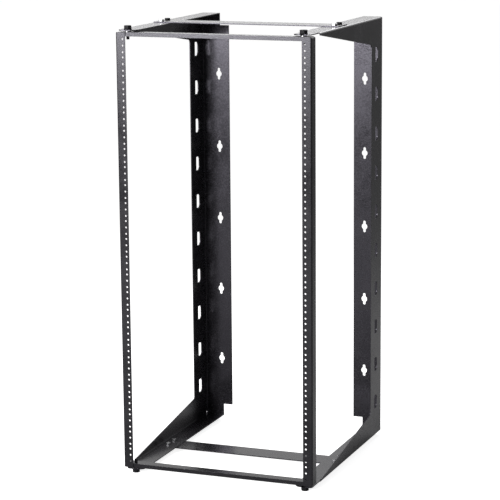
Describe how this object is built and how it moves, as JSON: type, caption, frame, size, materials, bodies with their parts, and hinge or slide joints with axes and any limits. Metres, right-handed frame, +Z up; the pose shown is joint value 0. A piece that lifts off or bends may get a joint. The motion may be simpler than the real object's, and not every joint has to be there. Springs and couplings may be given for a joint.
{
  "type": "wall-mount swing-gate open frame rack",
  "caption": "Open wall-mounted equipment rack: two tapered C-shaped bent-steel side frames tied by flat cross bars carry a tall drilled front gate that swings on its left-hand corner bolts.",
  "frame": {"origin": "on the rear face of the left wall flange, straight behind the gate's turning axis and half way up the rack", "axes": "+X to the right seen from the front, +Y into the wall, +Z up; the gate faces -Y"},
  "size_m": [0.5, 0.546, 1.1176],
  "materials": {
    "frame_steel": "black powder coat, fine texture, satin",
    "gate_steel": "black powder coat, fine texture, satin",
    "black_steel": "black oxide, satin",
    "zinc_steel": "zinc plated",
    "zinc_washer": "zinc plated"
  },
  "bodies": {
    "wall_frame": {"left_side_frame": "frame_steel", "right_side_frame": "frame_steel", "upper_cross_bar": "frame_steel", "lower_cross_bar": "frame_steel", "upper_bar_bolt_left_front": "zinc_steel", "upper_bar_bolt_left_rear": "black_steel", "upper_bar_bolt_right_front": "zinc_steel", "upper_bar_bolt_right_rear": "black_steel", "upper_bar_nut_left_front": "zinc_steel", "upper_bar_nut_left_rear": "zinc_steel", "upper_bar_nut_right_front": "zinc_steel", "upper_bar_nut_right_rear": "zinc_steel", "lower_bar_bolt_left_front": "zinc_steel", "lower_bar_bolt_left_rear": "black_steel", "lower_bar_bolt_right_front": "zinc_steel", "lower_bar_bolt_right_rear": "black_steel", "lower_bar_nut_left_front": "zinc_steel", "lower_bar_nut_left_rear": "zinc_steel", "lower_bar_nut_right_front": "zinc_steel", "lower_bar_nut_right_rear": "zinc_steel"},
    "swing_gate": {"left_rail": "gate_steel", "right_rail": "gate_steel", "gate_top_bar": "gate_steel", "gate_bottom_bar": "gate_steel", "upper_hinge_bolt": "black_steel", "lower_hinge_bolt": "black_steel", "upper_hinge_washer": "zinc_washer", "lower_hinge_washer": "zinc_washer", "upper_hinge_spacer": "zinc_washer", "lower_hinge_spacer": "zinc_washer", "upper_hinge_nut": "black_steel", "lower_hinge_nut": "black_steel", "upper_latch_bolt": "black_steel", "lower_latch_bolt": "black_steel", "upper_latch_washer": "zinc_washer", "lower_latch_washer": "zinc_washer", "upper_latch_spacer": "zinc_washer", "lower_latch_spacer": "zinc_washer", "upper_latch_nut": "black_steel", "lower_latch_nut": "black_steel"}
  },
  "joints": [
    {"name": "gate_swing", "type": "hinge", "parent": "wall_frame", "child": "swing_gate", "pos_m": [0, -0.53, 0], "axis": [0, 0, -1], "range_deg": [0, 175]}
  ]
}
